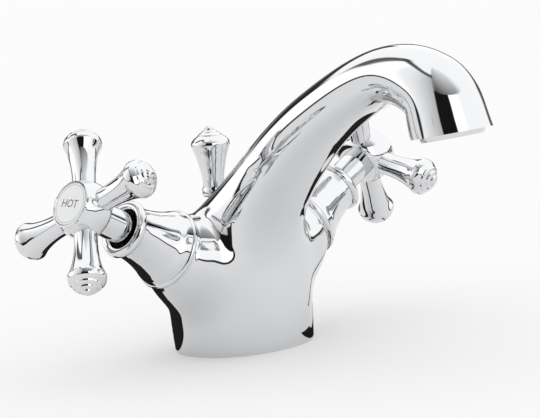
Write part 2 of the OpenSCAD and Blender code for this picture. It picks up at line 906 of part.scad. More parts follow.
jumper_washer(1);  // cold_jumper_washer
washer_screw(1);  // cold_washer_screw
shroud(1);  // cold_shroud
hub(1);  // cold_hub
handle_arm(1, 0);  // cold_arm_1
handle_arm(1, 1);  // cold_arm_2
handle_arm(1, 2);  // cold_arm_3
handle_arm(1, 3);  // cold_arm_4
handle_screw(1);  // cold_handle_screw
index_disc(1);  // cold_index_disc
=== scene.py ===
"""Monobloc basin mixer: chrome, index discs and the fixing kit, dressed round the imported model."""
import bmesh
import bpy
import math
import numpy as np
from mathutils import Matrix, Vector
from mathutils.bvhtree import BVHTree


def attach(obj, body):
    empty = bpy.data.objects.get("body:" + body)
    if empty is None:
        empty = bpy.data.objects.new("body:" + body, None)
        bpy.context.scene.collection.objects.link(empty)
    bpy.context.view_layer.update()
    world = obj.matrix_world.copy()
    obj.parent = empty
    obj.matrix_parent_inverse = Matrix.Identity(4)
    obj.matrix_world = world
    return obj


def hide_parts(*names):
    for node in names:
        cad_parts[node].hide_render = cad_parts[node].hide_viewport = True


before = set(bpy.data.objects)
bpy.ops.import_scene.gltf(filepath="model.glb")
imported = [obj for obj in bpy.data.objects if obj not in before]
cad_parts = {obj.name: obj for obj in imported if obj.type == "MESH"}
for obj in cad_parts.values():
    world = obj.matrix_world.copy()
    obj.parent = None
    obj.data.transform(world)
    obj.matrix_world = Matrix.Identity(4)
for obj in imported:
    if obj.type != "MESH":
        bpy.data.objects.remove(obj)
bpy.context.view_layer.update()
bpy.ops.object.select_all(action="DESELECT")

MM = 0.001

# Steps of a turned piece round its axis, and of the slim rod; angles in degrees over which an
# edge stays sharp; and the distance in millimetres within which points are one
ROUND, ROD_ROUND = 96, 48
SHARP, ARM_SHARP, BODY_SHARP = 30, 24, 35
ONE_POINT = 1e-4

# Sizes of the mixer in millimetres, as in the part's source
SIDE = {"hot": -1, "cold": 1}
VALVE_LEAN = math.radians(29)
VALVE_Z = 24
ARM_END = 39.4
HANDLE_AT = 44.8
ARMS_AT = ARM_END + HANDLE_AT
HUB_R = 11.4
HUB_BACK = ARMS_AT - 5.4
STUB_R = 6.3
STUB_FOOT = 60.6
GRIP_SEAT = 9.35
GRIP_TIP = 36.3
GRIP_BULB = 7.5
GRIP_ROOT = 4.5
DISC_FACE = ARMS_AT + 7.8
DISC_R = 8.38
DISC_SEAT_R = 8.5
DISC_SEAT_DEPTH = 1.6
OUTLET = Vector((0, -123, 87.5))
OUTLET_LEAN = math.radians(8.5)
OUTLET_R = 15.1
ROD_BACK = 10.5
ROD_R = 2.5
ROD_END = -85
KNOB_FOOT = 59
KNOB_H = 27.8
KNOB_R = 7.7
ROD_TOP = KNOB_FOOT + 6.8

# Turn of each handle and of each word at rest; the words stand upright
REST_TURN = {"hot": math.radians(28), "cold": math.radians(19)}
WORD_TURN = {"hot": math.radians(-90), "cold": math.radians(90)}
WORD_SIZE = {"hot": 4.4, "cold": 3.8}
WORD_THICK, WORD_RAISED = 0.02, 0.025


# --- places -------------------------------------------------------------------

def at_valve(side, along=0):
    """Matrix that lays +Z along a valve's axis, in metres, for a mesh in millimetres."""
    turn = Matrix.Rotation(SIDE[side] * (math.pi / 2 - VALVE_LEAN), 4, "Y")
    return (Matrix.Scale(MM, 4) @ Matrix.Translation((0, 0, VALVE_Z)) @ turn
            @ Matrix.Translation((0, 0, along)))


def at_arm(side, quarter):
    """Matrix that lays +Z along one arm of a handle."""
    turn = Matrix.Rotation(REST_TURN[side] + quarter * math.pi / 2, 4, "Z")
    return at_valve(side, ARMS_AT) @ turn @ Matrix.Rotation(math.pi / 2, 4, "Y")


def at_outlet():
    """Matrix that lays +Z along the water's way out of the nose."""
    return (Matrix.Scale(MM, 4) @ Matrix.Translation(OUTLET)
            @ Matrix.Rotation(math.pi - OUTLET_LEAN, 4, "X"))


def at_rod():
    return Matrix.Scale(MM, 4) @ Matrix.Translation((0, ROD_BACK, 0))


def valve_axes(sign):
    """A valve's axis, outwards, and the way up from it at a right angle, as (x, y, z)."""
    lean_x, lean_z = math.cos(VALVE_LEAN), math.sin(VALVE_LEAN)
    return (sign * lean_x, 0, lean_z), (-sign * lean_z, 0, lean_x)


# --- curves -------------------------------------------------------------------

def spline(before, start, end, after, u):
    """Value between start and end, headed by their neighbours; numbers or arrays."""
    return 0.5 * (2 * start + (end - before) * u
                  + (2 * before - 5 * start + 4 * end - after) * u * u
                  + (3 * start - before - 3 * end + after) * u ** 3)


def extended(points):
    """The points with one more at each end, straight on."""
    first = tuple(2 * a - b for a, b in zip(points[0], points[1]))
    last = tuple(2 * a - b for a, b in zip(points[-1], points[-2]))
    return [first, *points, last]


def point_on(row, i, u):
    """Point at share u of span i, in a row that was extended."""
    return tuple(spline(*values, u) for values in zip(*row[i:i + 4]))


def smooth(points, steps):
    """A smooth run of points through the given ones."""
    row = extended(points)
    run = [point_on(row, i, k / steps) for i in range(len(points) - 1) for k in range(steps)]
    return run + [points[-1]]


def arc(centre, radius, start, end, steps):
    """Points on an arc, with angles in degrees from +R towards +Z."""
    run = []
    for k in range(steps + 1):
        angle = math.radians(start + (end - start) * k / steps)
        run.append((centre[0] + radius * math.cos(angle), centre[1] + radius * math.sin(angle)))
    return run


def mouldings(foot, length, radius, runs):
    """Smooth runs one after another: steps, then shares of the radius and of the length."""
    profile = []
    for steps, *shares in runs:
        profile += smooth([(radius * a, foot + length * b) for a, b in shares], steps)
    return profile


# --- making pieces ------------------------------------------------------------

def select_only(piece):
    bpy.ops.object.select_all(action="DESELECT")
    piece.select_set(True)
    bpy.context.view_layer.objects.active = piece


def turned(name, profile, closed=False, sharp=SHARP, steps=ROUND):
    """A lathe piece in millimetres: a point is drawn along the profile and spun round +Z."""
    bpy.ops.mesh.primitive_plane_add(size=1, location=(0, 0, 0))
    piece = bpy.context.object
    piece.name = name
    bpy.ops.object.mode_set(mode="EDIT")
    bpy.ops.mesh.select_all(action="SELECT")
    bpy.ops.mesh.merge(type="CENTER")
    bpy.ops.transform.translate(value=(profile[0][0], 0, profile[0][1]))
    for here, there in zip(profile, profile[1:]):
        step = (there[0] - here[0], 0, there[1] - here[1])
        bpy.ops.mesh.extrude_region_move(TRANSFORM_OT_translate={"value": step})
    bpy.ops.mesh.select_all(action="SELECT")
    if closed:
        bpy.ops.mesh.remove_doubles(threshold=ONE_POINT)
    bpy.ops.mesh.spin(steps=steps, angle=2 * math.pi, center=(0, 0, 0), axis=(0, 0, 1))
    bpy.ops.mesh.select_all(action="SELECT")
    bpy.ops.mesh.remove_doubles(threshold=ONE_POINT)
    bpy.ops.mesh.normals_make_consistent(inside=False)
    bpy.ops.object.mode_set(mode="OBJECT")
    bpy.ops.object.shade_smooth_by_angle(angle=math.radians(sharp))
    return piece


def placed(piece, place):
    """Lay the mesh at its place; the object stays at the origin."""
    piece.data.transform(place)
    piece.data.update()
    return piece


def copy_at(pattern, name, place):
    """One more of a repeated piece, with its own mesh, laid at its place."""
    piece = pattern.copy()
    piece.name = name
    piece.data = pattern.data.copy()
    bpy.context.scene.collection.objects.link(piece)
    return placed(piece, place)


def finish_piece(piece, body, slot, material, *nodes):
    piece.data.materials.clear()
    piece.data.materials.append(material)
    if nodes:
        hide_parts(*nodes)
    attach(piece, body)


# --- materials ----------------------------------------------------------------

# The chrome's cloudiness: its fineness, and the share by which the gloss strays
CLOUD_SCALE, CLOUD_DETAIL, CLOUD_SHARE = 60, 3, 0.4
# The grain of everything else, and how strongly its relief shows
GRAIN_DETAIL, GRAIN_SHARE, GRAIN_STRENGTH = 5, 0.2, 0.3


def new_material(name, **sockets):
    material = bpy.data.materials.new(name)
    material.use_nodes = True
    shader = material.node_tree.nodes["Principled BSDF"]
    for key, value in sockets.items():
        shader.inputs[key.replace("_", " ")].default_value = value
    return material, material.node_tree, shader


def noise_on(tree, scale, detail):
    place = tree.nodes.new("ShaderNodeTexCoord")
    noise = tree.nodes.new("ShaderNodeTexNoise")
    noise.inputs["Scale"].default_value = scale
    noise.inputs["Detail"].default_value = detail
    tree.links.new(place.outputs["Object"], noise.inputs["Vector"])
    return noise.outputs["Fac"]


def uneven_gloss(tree, shader, source, rough, share):
    """Roughness that strays by a share of itself where the grain does."""
    node = tree.nodes.new("ShaderNodeMapRange")
    node.inputs["To Min"].default_value = rough * (1 - share)
    node.inputs["To Max"].default_value = rough * (1 + share)
    tree.links.new(source, node.inputs["Value"])
    tree.links.new(node.outputs["Result"], shader.inputs["Roughness"])


def bumpy(tree, shader, source, depth):
    bump = tree.nodes.new("ShaderNodeBump")
    bump.inputs["Strength"].default_value = GRAIN_STRENGTH
    bump.inputs["Distance"].default_value = depth
    tree.links.new(source, bump.inputs["Height"])
    tree.links.new(bump.outputs["Normal"], shader.inputs["Normal"])


def chrome(name, tint, rough):
    """Polished plate: a faint cloudiness in its gloss, nothing more."""
    material, tree, shader = new_material(name, Base_Color=(*tint, 1), Metallic=1.0)
    uneven_gloss(tree, shader, noise_on(tree, CLOUD_SCALE, CLOUD_DETAIL), rough, CLOUD_SHARE)
    return material


def mottled(name, dark, light, scale, rough, relief, metallic=0.0):
    """Cast, moulded or machined stuff with a grain in its colour, gloss and relief."""
    material, tree, shader = new_material(name, Metallic=metallic)
    grain = noise_on(tree, scale, GRAIN_DETAIL)
    mix = tree.nodes.new("ShaderNodeMix")
    mix.data_type = "RGBA"
    mix.inputs["A"].default_value = (*dark, 1)
    mix.inputs["B"].default_value = (*light, 1)
    tree.links.new(grain, mix.inputs["Factor"])
    tree.links.new(mix.outputs["Result"], shader.inputs["Base Color"])
    uneven_gloss(tree, shader, grain, rough, GRAIN_SHARE)
    bumpy(tree, shader, grain, relief)
    return material


def flat_matt(name, grey):
    """Plain matt grey without any gloss."""
    return new_material(name, Base_Color=(grey, grey, grey, 1), Roughness=1.0,
                        Specular_IOR_Level=0.0)[0]


# Name, tint and roughness
CHROME_BODY = chrome("cast_chrome", (0.7, 0.705, 0.715), 0.03)
CHROME_TRIM = chrome("turned_chrome", (0.71, 0.715, 0.725), 0.025)
CHROME_ROD = chrome("drawn_chrome", (0.68, 0.685, 0.695), 0.05)

# Name, dark and light tone, fineness of the grain, roughness, relief in metres, and 1 for metal
GREY_PLASTIC = mottled("grey_plastic", (0.1, 0.1, 0.105), (0.22, 0.22, 0.23), 900, 0.45, 2e-5)
NYLON = mottled("nylon", (0.78, 0.75, 0.66), (0.88, 0.86, 0.8), 500, 0.45, 3e-5)
RUBBER = mottled("rubber", (0.012, 0.012, 0.012), (0.035, 0.035, 0.035), 700, 0.75, 6e-5)
FIBRE = mottled("red_fibre", (0.3, 0.05, 0.035), (0.52, 0.12, 0.08), 900, 0.7, 5e-5)
BRASS = mottled("machined_brass", (0.62, 0.42, 0.16), (0.82, 0.62, 0.28), 350, 0.24, 1e-5, 1.0)
# Brass painted near black: painted shade for the headwork's shadow inside the shrouds, not the
# brass's own tone
BRASS_PAINTED_SHADE = mottled("brass_painted_shade", (0.03, 0.024, 0.014), (0.075, 0.055, 0.028), 350, 0.5, 1e-5, 1.0)
STEEL = mottled("plated_steel", (0.42, 0.42, 0.43), (0.66, 0.66, 0.68), 420, 0.32, 1e-5, 1.0)
ENAMEL = mottled("index_enamel", (0.78, 0.785, 0.79), (0.84, 0.845, 0.85), 260, 0.18, 5e-6)
PRINT = mottled("index_print", (0.1, 0.1, 0.105), (0.16, 0.16, 0.165), 600, 0.4, 5e-6)


# --- the body: the form of trunk and spout ------------------------------------

# Stations of the spout: place along Y, height, half width, half thickness, squareness
STATIONS = [
    (0, 0, 28.3, 25.5, 2.1),
    (0, 18, 29.5, 25, 2.2),
    (-3, 37, 28, 22, 2.4),
    (-17.5, 58, 18.5, 14.5, 2.6),
    (-50, 87.5, 15, 11.1, 2.6),
    (-90, 107.5, 12.9, 10.5, 2.4),
    (-115, 103.4, 13.8, 13, 2.05),
    (-123, 87.5, 15.1, 15.1, 2),
]
LAST_STATION = len(STATIONS) - 1

# At the middle of its last span the nose lies further out and is thicker than the stations make it
NOSE_SHIFT, NOSE_THICKER = 0.34, 0.3
# Share of a span by which to look ahead and back for the spout's heading
HEADING_STEP = 0.01

# How finely the skin of trunk and spout is laid out, along and around
SKIN_RINGS, SKIN_AROUND = 210, 120


def station(u):
    """Station values at place u along the spout."""
    i = min(int(u), LAST_STATION - 1)
    y, z, half_w, half_t, squareness = point_on(extended(STATIONS), i, u - i)
    # 0 at both ends of the last span and 1 at its middle
    full = (4 * (u - i) * (1 - u + i)) ** 2 if i == LAST_STATION - 1 else 0
    return y - NOSE_SHIFT * full, z, half_w, half_t + NOSE_THICKER * full, squareness


def heading(u):
    """Which way the centreline runs, as (y, z)."""
    if u <= 1:
        return (0.0, 1.0)
    if u >= LAST_STATION:
        return (-math.sin(OUTLET_LEAN), -math.cos(OUTLET_LEAN))
    ahead, behind = station(min(u + HEADING_STEP, LAST_STATION)), station(u - HEADING_STEP)
    y, z = ahead[0] - behind[0], ahead[1] - behind[1]
    run = math.hypot(y, z)
    return (y / run, z / run)


def power(x, squareness):
    """A cosine or sine changed so that its ellipse gets squarer."""
    return math.copysign(abs(x) ** (2 / squareness), x)


def spout_skin():
    """Fine skin of trunk and spout, to lay the body's cage on."""
    points, faces = [], []
    for k in range(SKIN_RINGS + 1):
        u = LAST_STATION * k / SKIN_RINGS
        y, z, half_w, half_t, squareness = station(u)
        head_y, head_z = heading(u)
        for i in range(SKIN_AROUND):
            angle = 2 * math.pi * i / SKIN_AROUND
            across = half_w * power(math.cos(angle), squareness)
            back = half_t * power(math.sin(angle), squareness)
            points.append(Vector((across, y + back * head_z, z - back * head_y)))
    for k in range(SKIN_RINGS):
        low, high = k * SKIN_AROUND, (k + 1) * SKIN_AROUND
        for i in range(SKIN_AROUND):
            j = (i + 1) % SKIN_AROUND
            faces.append((low + i, low + j, high + j, high + i))
    return BVHTree.FromPolygons(points, faces)


# --- the body: its cage -------------------------------------------------------

# Rings of the trunk: place along Y, height, lean, middle and half span of the side's columns,
# with angles in degrees
TRUNK_RINGS = [
    (0, 0.01, 0, 0, 45),
    (0, 5, 0, 0, 45),
    (0, 12, 0, 0, 45),
    (0, 23, 0, 1, 44),
    (-1.5, 34.5, 3, 4, 43),
    (-5, 46, 12, 12, 41),
    (-12, 56.5, 25, 24, 38),
    (-20, 65, 38, 18, 40),
    (-29, 73, 45, 9, 43),
    (-39, 80.5, 50, 3, 45),
]
# Rings of the spout, as places among its stations
SPOUT_RINGS = (4.0, 4.3, 4.6, 4.85, 5.1, 5.35, 5.6, 5.85, 6.1, 6.35, 6.6, 6.85, 7.0)

# The patch that is left open for a side arm: first and last ring, and columns by side
PATCH_FIRST, PATCH_LAST = 2, 6
PATCH_COLUMNS = {"hot": (14, 13, 12, 11, 10), "cold": (2, 3, 4, 5, 6)}
# Circles of a side arm: place along the valve's axis and radius; then their points and the angle
# of the first one
ARM_CIRCLES = ((27.0, 18.4), (33.2, 16.25), (ARM_END - 0.6, 15.1), (ARM_END, 15.0), (ARM_END, 13.0))
ARM_POINTS, ARM_START = 16, -135
# Circles of the bore for the aerator: radius and depth
NOSE_BORE = ((12.06, 0), (12.06, 6.5), (9.0, 6.5), (9.0, 9.5))
# A hair's turn in degrees that keeps the rays off the seams of the skin
RAY_TURN = 0.002


def ring_plan():
    """Centre, lean, middle and half span of every ring of the cage."""
    plan = [(Vector((0, y, z)), math.radians(lean), middle, span)
            for y, z, lean, middle, span in TRUNK_RINGS]
    for u in SPOUT_RINGS:
        y, z = station(u)[:2]
        head_y, head_z = heading(u)
        centre = OUTLET if u >= LAST_STATION else Vector((0, y, z))
        plan.append((centre, math.atan2(-head_y, head_z), 0, 45))
    return plan


def ring_angles(middle, span):
    """Sixteen angles round a ring, from the front to the back and on, equal on both sides."""
    columns = [middle + span * k / 2 for k in (-2, -1, 0, 1, 2)]
    half = [-90, (columns[0] - 90) / 2, *columns, (columns[4] + 90) / 2, 90]
    other = [180 - a for a in reversed(half[1:-1])]
    return half + other


class Cage:
    """A bmesh of rings, with the point that the finished skin should meet for each vertex."""

    def __init__(self):
        self.mesh = bmesh.new()
        self.wanted = {}

    def ring(self, points):
        """Add a ring of vertices."""
        vertices = []
        for point in points:
            vertex = self.mesh.verts.new(point)
            self.wanted[vertex] = point.copy()
            vertices.append(vertex)
        return vertices

    def join(self, before, after, left_out=()):
        """Faces between two closed rings."""
        for k in range(len(before)):
            j = (k + 1) % len(before)
            if k not in left_out:
                self.mesh.faces.new((before[k], before[j], after[j], after[k]))

    def crease(self, rings):
        layer = self.mesh.edges.layers.float.new("crease_edge")
        for ring in rings:
            for here, there in zip(ring, ring[1:] + ring[:1]):
                self.mesh.edges.get((here, there))[layer] = 1.0

    def finished(self, name):
        """The mesh, and its wanted points in the order of its vertices."""
        loose = [v for v in self.mesh.verts if not v.link_faces]
        bmesh.ops.delete(self.mesh, geom=loose, context="VERTS")
        self.mesh.verts.index_update()
        order = [self.wanted[v].copy() for v in self.mesh.verts]
        bmesh.ops.recalc_face_normals(self.mesh, faces=self.mesh.faces)
        data = bpy.data.meshes.new(name)
        self.mesh.to_mesh(data)
        self.mesh.free()
        return data, order


def add_trunk(cage):
    """Rings of trunk and spout, with two patches open for the side arms."""
    skin = spout_skin()
    rings = []
    for centre, lean, middle, span in ring_plan():
        back = Vector((0, math.cos(lean), math.sin(lean)))
        points = []
        for angle in ring_angles(middle, span):
            a = math.radians(angle + RAY_TURN)
            way = Vector((math.cos(a), 0, 0)) + back * math.sin(a)
            on_outlet = centre == OUTLET
            hit = OUTLET_R * way + centre if on_outlet else skin.ray_cast(centre, way)[0]
            points.append(hit)
        rings.append(cage.ring(points))
    open_columns = {c for columns in PATCH_COLUMNS.values() for c in sorted(columns)[:-1]}
    for k in range(len(rings) - 1):
        cage.join(rings[k], rings[k + 1], open_columns if PATCH_FIRST <= k < PATCH_LAST else ())
    return rings


def add_arm(cage, rings, side):
    """A side arm that grows out of its open patch."""
    columns = PATCH_COLUMNS[side]
    between = range(PATCH_FIRST + 1, PATCH_LAST)
    before = [rings[PATCH_FIRST][c] for c in columns]
    before += [rings[r][columns[-1]] for r in between]
    before += [rings[PATCH_LAST][c] for c in reversed(columns)]
    before += [rings[r][columns[0]] for r in reversed(between)]
    axis, up = (Vector(way) for way in valve_axes(SIDE[side]))
    for at, radius in ARM_CIRCLES:
        centre = Vector((0, 0, VALVE_Z)) + at * axis
        points = []
        for k in range(ARM_POINTS):
            angle = math.radians(ARM_START - 360 * k / ARM_POINTS)
            points.append(centre + radius * (math.cos(angle) * up
                                             + math.sin(angle) * Vector((0, 1, 0))))
        circle = cage.ring(points)
        cage.join(before, circle)
        before = circle
    cage.mesh.faces.new(before)


def add_bore(cage, nose):
    """The bore for the aerator; gives back its circles."""
    flow = Vector((0, -math.sin(OUTLET_LEAN), -math.cos(OUTLET_LEAN)))
    ways = [(cage.wanted[vertex] - OUTLET).normalized() for vertex in nose]
    circles = []
    before = nose
    for radius, depth in NOSE_BORE:
        circles.append(cage.ring([OUTLET + radius * way - depth * flow for way in ways]))
        cage.join(before, circles[-1])
        before = circles[-1]
    cage.mesh.faces.new(before)
    return circles


def body_cage():
    cage = Cage()
    rings = add_trunk(cage)
    for side in SIDE:
        add_arm(cage, rings, side)
    circles = add_bore(cage, rings[-1])
    cage.mesh.faces.new(rings[0])
    cage.crease([rings[0], rings[-1], *circles])
    return cage.finished("body_cage")


# --- the body: the casting's fillets ------------------------------------------

# Trunk and spout on planes that lean without crossing: place along Y, height, lean in degrees,
# half thickness, half width, squareness
SECTIONS = [
    (0, 0, 0, 25.5, 28.3, 2.1),
    (0.15, 12, 0, 25.35, 29.2, 2.15),
    (-0.3, 24, 0, 24.6, 29.4, 2.25),
    (-2.0, 36.1, 6, 22.85, 28.6, 2.4),
    (-7.1, 47, 16, 19.65, 23.5, 2.5),
    (-15.2, 56.3, 29, 15.6, 19.2, 2.58),
    (-24.3, 65.4, 40, 13.35, 17.1, 2.6),
    (-35.6, 75.9, 49, 12.05, 16.0, 2.6),
    (-50, 87.5, 55.7, 11.1, 15.0, 2.6),
    (-68.1, 98.4, 65, 10.55, 13.8, 2.53),
    (-90, 107.5, 76, 10.5, 12.9, 2.4),
]
LAST_SECTION = len(SECTIONS) - 1

# Radius of a side arm by place along its axis, evenly spaced, and how much more it has underneath;
# a higher bias keeps that nearer to the very bottom; then the width of the blend with the trunk
ARM_FLARE = [(-8, 14.0), (0, 16.5), (8, 18.2), (16, 17.8), (24, 17.8), (32, 17.2), (40, 14.7)]
UNDER_FLARE = [(-8, 0.0), (0, 0.8), (8, 2.8), (16, 4.2), (24, 3.3), (32, 1.3), (40, 0.0)]
UNDER_BIAS = 1.5
FILLET = 7.2

# Search for a point's section: rough places to start from, then finer steps
ROUGH_PLACES, FINE_STEPS, PLACE_STEP = 61, 4, 0.01

# Past the first value the skin stays, and a second value short of it the skin is quite free: along
# an arm towards its rim, down towards the deck, and along Y towards the nose
RIM_STAYS = (38.4, 2.0)
FOOT_STAYS = (0.02, 3)
NOSE_STAYS = (-62, 20)

# The skin is relaxed in the first turns and moved onto the form in all of them, by a step that
# finds the slope; no point moves further than this many millimetres a turn
RELAX_TURNS, ALL_TURNS = 10, 14
RELAX_SHARE = 0.5
SLOPE_STEP, LEAST_STEEP = 0.02, 0.05
FARTHEST_MOVE = 2


def sections_at(places):
    """Section values at many places along trunk and spout at once."""
    row = np.array(extended(SECTIONS))
    i = np.clip(places.astype(int), 0, LAST_SECTION - 1)
    return spline(*(row[i + k] for k in range(4)), (places - i)[:, None])


def on_section(points, places):
    """Each point's height over its section's plane, its place across it, and the section."""
    rows = sections_at(places)
    lean = np.radians(rows[:, 2])
    ahead, above = points[:, 1] - rows[:, 0], points[:, 2] - rows[:, 1]
    over = above * np.cos(lean) - ahead * np.sin(lean)
    return over, ahead * np.cos(lean) + above * np.sin(lean), rows


def trunk_level(points):
    """How far points lie outside trunk and spout, in millimetres."""
    rough = np.linspace(0, LAST_SECTION, ROUGH_PLACES)
    rows = sections_at(rough)
    lean = np.radians(rows[:, 2])
    over = ((points[:, 2:] - rows[:, 1]) * np.cos(lean)
            - (points[:, 1:2] - rows[:, 0]) * np.sin(lean))
    place = rough[np.argmin(np.abs(over), axis=1)]
    for _ in range(FINE_STEPS):
        over = on_section(points, place)[0]
        change = on_section(points, place + PLACE_STEP)[0] - over
        place = np.clip(place - PLACE_STEP * over / np.minimum(change, -1e-3), 0, LAST_SECTION)
    _, across, rows = on_section(points, place)
    a, b = np.abs(points[:, 0]), np.abs(across)
    half_t, half_w, squareness = rows[:, 3:].T
    level = ((a / half_w) ** squareness + (b / half_t) ** squareness + 1e-12) ** (1 / squareness)
    return np.hypot(a, b) * (1 - 1 / np.maximum(level, 1e-3))


def read_flare(table, along):
    """Radius at a place along the arm, smoothly between the evenly spaced rows of a table."""
    start, end = table[0][0], table[-1][0]
    radii = np.array(extended([(r,) for _, r in table]))[:, 0]
    place = np.clip((along - start) / (end - start), 0, 1) * (len(table) - 1)
    i = np.clip(place.astype(int), 0, len(table) - 2)
    return spline(*(radii[i + k] for k in range(4)), place - i)


def arm_level(points, sign):
    """How far points lie outside a flared side arm, in millimetres."""
    axis, up = (np.array(way) for way in valve_axes(sign))
    free = points - (0, 0, VALVE_Z)
    along = free @ axis
    side = free - np.maximum(along, 0)[:, None] * axis
    out = np.linalg.norm(side, axis=1)
    under = np.clip(-(side @ up) / np.maximum(out, 1e-6), 0, 1) ** UNDER_BIAS
    return out - read_flare(ARM_FLARE, along) - under * read_flare(UNDER_FLARE, along)


def blended(first, second, width):
    """The lesser of two levels, rounded where they meet."""
    near = np.maximum(width - np.abs(first - second), 0) / width
    return np.minimum(first, second) - near ** 3 * width / 6


def casting_level(points):
    """How far points lie outside the whole casting, with its fillets."""
    level = trunk_level(points)
    for sign in SIDE.values():
        level = blended(level, arm_level(points, sign), FILLET)
    return level


def freedom(points):
    """How freely each point of the skin may move, from 0 to 1."""
    outward = np.max([points @ np.array(valve_axes(sign)[0]) - VALVE_Z * math.sin(VALVE_LEAN)
                      for sign in SIDE.values()], axis=0)
    free = np.clip((RIM_STAYS[0] - outward) / RIM_STAYS[1], 0, 1)
    free *= np.clip((points[:, 2] - FOOT_STAYS[0]) / FOOT_STAYS[1], 0, 1)
    free *= np.clip((points[:, 1] - NOSE_STAYS[0]) / NOSE_STAYS[1], 0, 1)
    return (free * free * (3 - 2 * free))[:, None]


def cast_fillets(data):
    """Relax the skin round the arms' roots onto one smoothly blended form."""
    count = len(data.vertices)
    points = np.empty(count * 3)
    data.vertices.foreach_get("co", points)
    points = points.reshape(-1, 3)
    ends = np.empty(len(data.edges) * 2, dtype=np.int64)
    data.edges.foreach_get("vertices", ends)
    ends = ends.reshape(-1, 2)
    degree = np.bincount(ends.ravel(), minlength=count)[:, None]
    free = freedom(points)
    for turn in range(ALL_TURNS):
        if turn < RELAX_TURNS:
            total = np.zeros_like(points)
            np.add.at(total, ends[:, 0], points[ends[:, 1]])
            np.add.at(total, ends[:, 1], points[ends[:, 0]])
            points = points + RELAX_SHARE * free * (total / degree - points)
        level = casting_level(points)
        slope = np.stack([(casting_level(points + shift) - level) / SLOPE_STEP
                          for shift in SLOPE_STEP * np.eye(3)], axis=1)
        steep = np.maximum((slope ** 2).sum(1), LEAST_STEEP)
        move = np.clip(level, -FARTHEST_MOVE, FARTHEST_MOVE) / steep
        points = points - free * move[:, None] * slope
    data.vertices.foreach_set("co", points.ravel())
    data.update()


# Turns of moving the cage and the share of the way in each, and how finely it is divided then
CAGE_TURNS, CAGE_SHARE = 6, 0.85
SKIN_LEVELS = 3


def body_piece():
    """Cage under subdivision, moved until its smooth skin passes through the wanted points."""
    data, order = body_cage()
    piece = bpy.data.objects.new("chromed_body", data)
    bpy.context.scene.collection.objects.link(piece)
    smoother = piece.modifiers.new("skin", "SUBSURF")
    smoother.levels = smoother.render_levels = 1
    for _ in range(CAGE_TURNS):
        bpy.context.view_layer.update()
        shown = piece.evaluated_get(bpy.context.evaluated_depsgraph_get()).data
        for vertex, goal in zip(data.vertices, order):
            vertex.co += CAGE_SHARE * (goal - shown.vertices[vertex.index].co)
        data.update()
    smoother.levels = smoother.render_levels = SKIN_LEVELS
    select_only(piece)
    bpy.ops.object.modifier_apply(modifier=smoother.name)
    cast_fillets(piece.data)
    placed(piece, Matrix.Scale(MM, 4))
    select_only(piece)
    bpy.ops.object.shade_smooth_by_angle(angle=math.radians(BODY_SHARP))
    return piece


finish_piece(body_piece(), "mixer", "chrome_body", CHROME_BODY, "body")


# --- shrouds and handles ------------------------------------------------------

# Mouldings as steps, then shares of the bulb's radius and of the arm's free length
ARM_CROWN = [
    (5, (1, 0.75), (0.94, 0.81), (0.75, 0.863)),
    (3, (0.72, 0.885), (0.64, 0.902), (0.52, 0.915)),
    (3, (0.48, 0.935), (0.4, 0.947), (0.28, 0.955)),
    (3, (0.24, 0.978), (0.16, 0.993), (0, 1)),
]


def shroud_profile():
    """A bell with a thin flange at its foot and a rolled lip, in heights over the arm's end."""
    foot = [(13, 0), (15.1, 0), *arc((14.8, 1.2), 1.2, -75, 75, 8), (15.25, 2.4)]
    skirt = smooth([
        (15.2, 2.6), (14.5, 4.9), (13.2, 7.8), (11.4, 13.6), (10.4, 19.4), (10.3, 22.8),
    ], 7)
    lip = arc((9.6, 24.2), 1.9, -50, 205, 22)
    inside = [
        (8.3, 23.2), (8.9, 16.6), (8.56, 16.4), (8.56, 12.7), (10.4, 12.6), (10.4, 9), (13, 7.6),
    ]
    return [*foot, *skirt, *lip, *inside, foot[0]]


def hub_profile():
    """A barrel on a stub, with a shallow seat for the disc in its face."""
    face, plane, back = DISC_FACE, ARMS_AT, HUB_BACK
    stub = [(0, STUB_FOOT), (STUB_R - 0.4, STUB_FOOT), (STUB_R, STUB_FOOT + 0.4), (STUB_R, back)]
    edge = [(9.35, back), *arc((9.35, back + 0.4), 0.4, -80, -10, 4)]
    barrel = smooth([
        (9.75, back + 0.35), (10.65, back + 1.4), (11.2, plane - 2.2), (HUB_R, plane),
        (11.16, plane + 2.4), (10.4, plane + 4.9), (9.5, face - 0.7),
    ], 6)
    rim = [*arc((9.0, face - 0.4), 0.45, 20, 95, 5), (8.62, face + 0.05)]
    floor = face - DISC_SEAT_DEPTH
    seat = [(DISC_SEAT_R, face - 0.15), (DISC_SEAT_R, floor), (0, floor)]
    return [*stub, *edge, *barrel, *rim, *seat]


def arm_profile():
    """A slim stem that flares to a bulb and ends in stepped rings and a nub."""
    root, bulb, seat, free = GRIP_ROOT, GRIP_BULB, GRIP_SEAT, GRIP_TIP - GRIP_SEAT
    spigot = [(0, seat - 0.45), (root - 0.2, seat - 0.45), (root, seat)]
    stem = smooth([
        (root, seat + 0.9), (root * 1.01, seat + 0.25 * free), (root * 1.14, seat + 0.44 * free),
        (bulb * 0.82, seat + 0.6 * free), (bulb, seat + 0.72 * free),
    ], 9)
    return [*spigot, *stem, *mouldings(seat, free, bulb, ARM_CROWN)]


def disc_profile():
    """A thin disc with a fine groove inside its rim."""
    face, back, bevel = DISC_FACE, DISC_FACE - 1.55, DISC_R - 0.08
    groove_out, groove_in, groove_floor = 7.75, 7.45, face - 0.4
    return [
        (0, back), (bevel, back), (DISC_R, back + 0.15), (DISC_R, face - 0.2), (bevel, face - 0.06),
        (8.1, face), (groove_out + 0.1, face), (groove_out, face - 0.1), (groove_out, groove_floor),
        (groove_in, groove_floor), (groove_in, face - 0.1), (groove_in - 0.1, face), (0, face),
    ]


